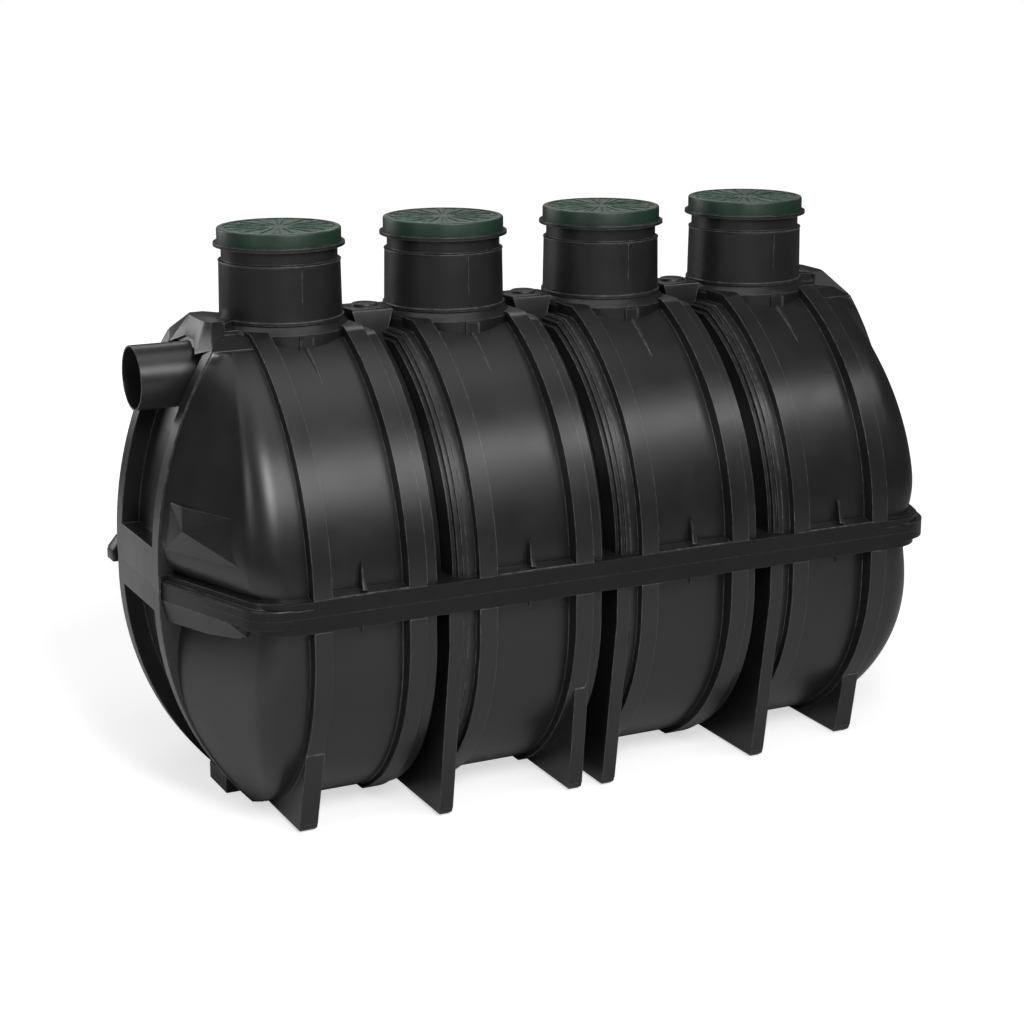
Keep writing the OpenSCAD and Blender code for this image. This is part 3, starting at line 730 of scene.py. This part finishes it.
# %% Spikes on the panels
PANEL_HALF, PANEL_RISE, PANEL_FOOT = 0.653, 0.836, 0.812
SHIFT = ((PANEL_RISE - 0.022) ** 2 - PANEL_HALF ** 2) / (2 * PANEL_HALF)
REACH = PANEL_HALF + SHIFT
STEPS = 16
spikes = []
for i, x in enumerate(NECKS):
    start = math.asin((1.562 - PANEL_FOOT) / REACH)
    proud = REACH + 0.0032
    top = Vector((x, SHIFT - proud * math.cos(start), PANEL_FOOT + proud * math.sin(start)))
    size = Vector((0.020, 0.016, 0.003))
    spike = block(f"spike_{i + 1}", top - size, top + size)
    mesh = edit(spike)
    pick(mesh, "faces", lambda m: m.y < top.y - 0.015)
    bpy.ops.transform.resize(value=(0.30, 1, 1), center_override=top)
    pick(mesh, "faces", lambda m: abs(m.y - top.y) < 0.001 and m.z < top.z - 0.002)
    bpy.ops.mesh.spin(steps=STEPS, angle=math.radians(STEPS), center=(x, SHIFT, PANEL_FOOT),
                      axis=(-1, 0, 0))
    axis = Vector((x, SHIFT, PANEL_FOOT))
    first = top - Vector((0, 0, 0.003)) - axis
    for step in range(1, STEPS + 1):
        turn = math.radians(step)
        up = Vector((0, -math.sin(turn), math.cos(turn)))
        here = axis + Vector((0, first.y * math.cos(turn) - first.z * math.sin(turn),
                              first.y * math.sin(turn) + first.z * math.cos(turn)))
        pick(mesh, "verts", lambda v: abs((v - here).dot(up)) < 0.002 and (v - here).length < 0.03)
        share = 1 - step / (STEPS + 0.4)
        bpy.ops.transform.resize(value=(share, share, share), center_override=here)
    bpy.ops.object.mode_set(mode="OBJECT")
    spikes += [spike, copy_of(spike, spike.name + "_far", flip=(1,))]
for spike in spikes:
    close(spike, black, 25)
print("spikes", len(spikes), "of", len(spikes[0].data.polygons), "faces")

# %% [markdown]
# The arch is a thin plate on the collar with its upper corners rounded and its face sunk by an inset.

# %% Arches over the spikes
marks = []
for i, x in enumerate(NECKS):
    mark = block(f"collar_mark_{i + 1}", (x - 0.0245, -0.2345, 1.52), (x + 0.0245, -0.205, 1.578))
    mesh = edit(mark)
    pick(mesh, "edges", lambda m: abs(abs(m.x - x) - 0.0245) < 0.001 and m.z > 1.575)
    bevel(0.008, 3)
    pick(mesh, "faces", lambda m: m.y < -0.234)
    bpy.ops.mesh.inset(thickness=0.004)
    bpy.ops.transform.translate(value=(0, 0.003, 0))
    bpy.ops.object.mode_set(mode="OBJECT")
    marks += [mark, copy_of(mark, mark.name + "_far", flip=(1,))]
for mark in marks:
    close(mark, black)
print("collar marks", len(marks))

# %% [markdown]
# ## Envelope on the cheek
# The cheek beside the inlet frame carries a shallow envelope-shaped panel, its point standing proud. On
# the real tank it stiffens the dome where it is flattest. It could be cut into the dome, but a cover
# laid over it keeps the dome smooth: a plane is poked, its corners are pulled to their spots on the
# cheek, and the whole is extruded into a thin body.

# %% Envelope relief
bpy.ops.object.select_all(action="DESELECT")
bpy.ops.mesh.primitive_plane_add(size=1, location=(0, 0, 0))
relief = bpy.context.object
relief.name = "cheek_relief"
mesh = edit(relief)
pick(mesh, "edges", lambda m: m.y > 0.4)
bpy.ops.mesh.subdivide(number_cuts=1)
bpy.ops.mesh.select_all(action="SELECT")
bpy.ops.mesh.poke()
put(mesh, (0, 0.1, 0), (-1.3794, -0.3724, 1.0211))
put(mesh, (-0.5, 0.5, 0), (-1.3772, -0.2500, 1.0895))
put(mesh, (0, 0.5, 0), (-1.3592, -0.3180, 1.0868))
put(mesh, (0.5, 0.5, 0), (-1.2560, -0.5335, 1.084))
put(mesh, (0.5, -0.5, 0), (-1.2575, -0.5745, 0.935))
put(mesh, (-0.5, -0.5, 0), (-1.3995, -0.2500, 0.9330))
bpy.ops.mesh.select_all(action="SELECT")
bpy.ops.mesh.extrude_region_move(TRANSFORM_OT_translate={"value": (0.03, 0.01, 0)})
bpy.ops.mesh.select_all(action="SELECT")
bpy.ops.mesh.normals_make_consistent(inside=False)
bpy.ops.mesh.select_all(action="SELECT")
bevel(0.002, 2)
bpy.ops.object.mode_set(mode="OBJECT")
close(copy_of(relief, "outlet_cheek_relief", flip=(0, 1)), black, 12)
close(relief, black, 12)
print(relief.name, len(relief.data.polygons))

# %% [markdown]
# ## Hood over the pipe
# Above each pipe the roof comes forward in a faceted hood, which ties the block on top to the
# frame and sheds the load of the soil. Its facets follow no simple rule, so a ten-sided column is
# pulled, corner by corner, into them.

# %% Hood
bpy.ops.object.select_all(action="DESELECT")
bpy.ops.mesh.primitive_cylinder_add(vertices=10, radius=1, depth=1, location=(0, 0, 0.5))
hood = bpy.context.object
hood.name = "inlet_hood"
bpy.ops.object.transform_apply(location=True)
mesh = edit(hood)
top_ring = [(-1.190, 0.056), (-1.183, 0.080), (-1.173, 0.102), (-1.127, 0.104), (-1.080, 0.050)]
low_ring = [(-1.212, 0.043, 1.5615), (-1.238, 0.128, 1.530), (-1.2085, 0.222, 1.5575),
            (-1.114, 0.092, 1.586), (-1.080, 0.052, 1.580)]
spots = [(math.sin(math.radians(36 * k)), math.cos(math.radians(36 * k))) for k in range(10)]
for k, (x, y) in enumerate(spots):
    row = k if k < 5 else 9 - k
    side = 1 if k < 5 else -1
    order = 4 - row
    put(mesh, (x, y, 1), (top_ring[order][0], side * top_ring[order][1], 1.6265))
    put(mesh, (x, y, 0), (low_ring[order][0], side * low_ring[order][1], low_ring[order][2]))
bpy.ops.mesh.select_all(action="SELECT")
bpy.ops.mesh.normals_make_consistent(inside=False)
bevel(0.0025, 2)
bpy.ops.object.mode_set(mode="OBJECT")
close(copy_of(hood, "outlet_hood", flip=(0,)), black, 25)
close(hood, black, 25)
print(hood.name, len(hood.data.polygons))

# %% [markdown]
# ## Lugs
# A small lug for a strap straddles the seam beside each frame, in two halves with the parting line
# between them. Each half is a bevelled box, and the upper one is sloped by moving one of its edges.

# %% Lug
lugs = []
for tag, low, high in (("top", SEAM + 0.001, 0.832), ("base", 0.752, SEAM - 0.001)):
    lug = block(f"lug_{tag}", (-1.416, 0.292, low), (-1.345, 0.362, high))
    mesh = edit(lug)
    if tag == "top":
        pick(mesh, "edges", lambda m: m.x < -1.41 and m.z > 0.83)
        bpy.ops.transform.translate(value=(0.034, 0, 0))
    bpy.ops.mesh.select_all(action="SELECT")
    bevel(0.005, 2)
    bpy.ops.object.mode_set(mode="OBJECT")
    lugs += [lug, copy_of(lug, lug.name + "_outlet", flip=(0,))]
for lug in lugs:
    close(lug, black)
print("lugs", len(lugs))

# %% [markdown]
# ## Floor and light
# The tank stands in a white studio. The floor is a plain pale sheet for every ray but the camera's,
# a little paler beside the inlet, where it lights the dome from below. The camera sees the same sheet
# lifted to white, so that only the tank's soft shadow stays on it. A brighter lamp would also whiten
# the floor, but it would bleach the tank as well.

# %% Floor
bpy.ops.object.select_all(action="DESELECT")
bpy.ops.mesh.primitive_plane_add(size=60, location=(0, 0, 0))
floor = bpy.context.object
floor.name = "floor"
material, tree, shader = new_material("pale_floor")
shader.inputs["Roughness"].default_value = 0.9
coords = tree.nodes.new("ShaderNodeTexCoord").outputs["Object"]
across = tree.nodes.new("ShaderNodeSeparateXYZ")
tree.links.new(coords, across.inputs["Vector"])
pale = blend_colours(tree, ramp(tree, across.outputs["X"], -1.2, -2.2, 0, 1),
                     (0.7, 0.7, 0.7), (0.95, 0.95, 0.95))
tree.links.new(pale, shader.inputs["Base Color"])
length = tree.nodes.new("ShaderNodeVectorMath")
length.operation = "LENGTH"
tree.links.new(coords, length.inputs[0])
glow = tree.nodes.new("ShaderNodeEmission")
glow.inputs["Color"].default_value = (1, 1, 1, 1)
tree.links.new(ramp(tree, length.outputs["Value"], 2.2, 6.0, 0.62, 1.0), glow.inputs["Strength"])
lifted = tree.nodes.new("ShaderNodeAddShader")
tree.links.new(shader.outputs["BSDF"], lifted.inputs[0])
tree.links.new(glow.outputs["Emission"], lifted.inputs[1])
seen = tree.nodes.new("ShaderNodeLightPath")
pick_floor = tree.nodes.new("ShaderNodeMixShader")
tree.links.new(seen.outputs["Is Camera Ray"], pick_floor.inputs["Fac"])
tree.links.new(shader.outputs["BSDF"], pick_floor.inputs[1])
tree.links.new(lifted.outputs["Shader"], pick_floor.inputs[2])
output = next(node for node in tree.nodes if node.type == "OUTPUT_MATERIAL")
tree.links.new(pick_floor.outputs["Shader"], output.inputs["Surface"])
floor.data.materials.append(material)
print("floor", floor.name)


# %% [markdown]
# Satin black plastic shows little of its own colour. It shows the lamps, as soft bands along every
# curve. So each lamp is a large flat box, placed where its band is wanted: two high in front for the
# panels, two overhead for the lids and the roof, two narrow ones for the streaks on the inlet's dome,
# and two behind, which part the tank from the white.


# %% Lamps
def softbox(name, place, target, width, height, power):
    """A square area lamp that looks at a point."""
    data = bpy.data.lights.new(name, "AREA")
    data.shape = "RECTANGLE"
    data.size = width
    data.size_y = height
    data.energy = power
    lamp = bpy.data.objects.new(name, data)
    scene.collection.objects.link(lamp)
    lamp.location = place
    lamp.rotation_euler = (Vector(target) - Vector(place)).to_track_quat("-Z", "Y").to_euler()
    return lamp


softbox("front_high", (0.5, -6.5, 5.5), (0, 0, 0.9), 4, 3, 178)
softbox("front_right", (3.2, -4.2, 5.2), (0, -0.5, 1.2), 3.0, 0.8, 64)
softbox("top_left", (-3, 0, 6), (0, 0, 1), 3, 4, 41)
softbox("top_middle", (0.5, -1, 6.5), (0, 0, 1), 4, 3, 48)
softbox("strip_left", (-5.2, -2.2, 3.4), (-1.2, -0.4, 1.2), 1.0, 2.2, 30)
softbox("back_left", (-4, 5, 3), (0, 0, 1), 3, 3, 80)
softbox("back_high", (1, 4.6, 5.2), (0, 0, 1), 5, 1.2, 45)
softbox("cheek_strip", (-1.45, -5.3, 5.0), (-1.16, -0.57, 1.15), 0.9, 2.6, 165)

# %% [markdown]
# The world gives a weak even fill, and shows white only to the camera, for the same reason as the
# floor. The Standard view keeps colours as they are written.

# %% World
world = bpy.data.worlds.new("studio")
scene.world = world
world.use_nodes = True
tree = world.node_tree
tree.nodes.clear()
output = tree.nodes.new("ShaderNodeOutputWorld")
fill = tree.nodes.new("ShaderNodeBackground")
fill.inputs["Color"].default_value = (1, 1, 1, 1)
fill.inputs["Strength"].default_value = 0.07
white = tree.nodes.new("ShaderNodeBackground")
white.inputs["Color"].default_value = (1, 1, 1, 1)
white.inputs["Strength"].default_value = 1.0
path = tree.nodes.new("ShaderNodeLightPath")
mix = tree.nodes.new("ShaderNodeMixShader")
tree.links.new(path.outputs["Is Camera Ray"], mix.inputs["Fac"])
tree.links.new(fill.outputs["Background"], mix.inputs[1])
tree.links.new(white.outputs["Background"], mix.inputs[2])
tree.links.new(mix.outputs["Shader"], output.inputs["Surface"])
scene.view_settings.view_transform = "Standard"
print("world", world.name)
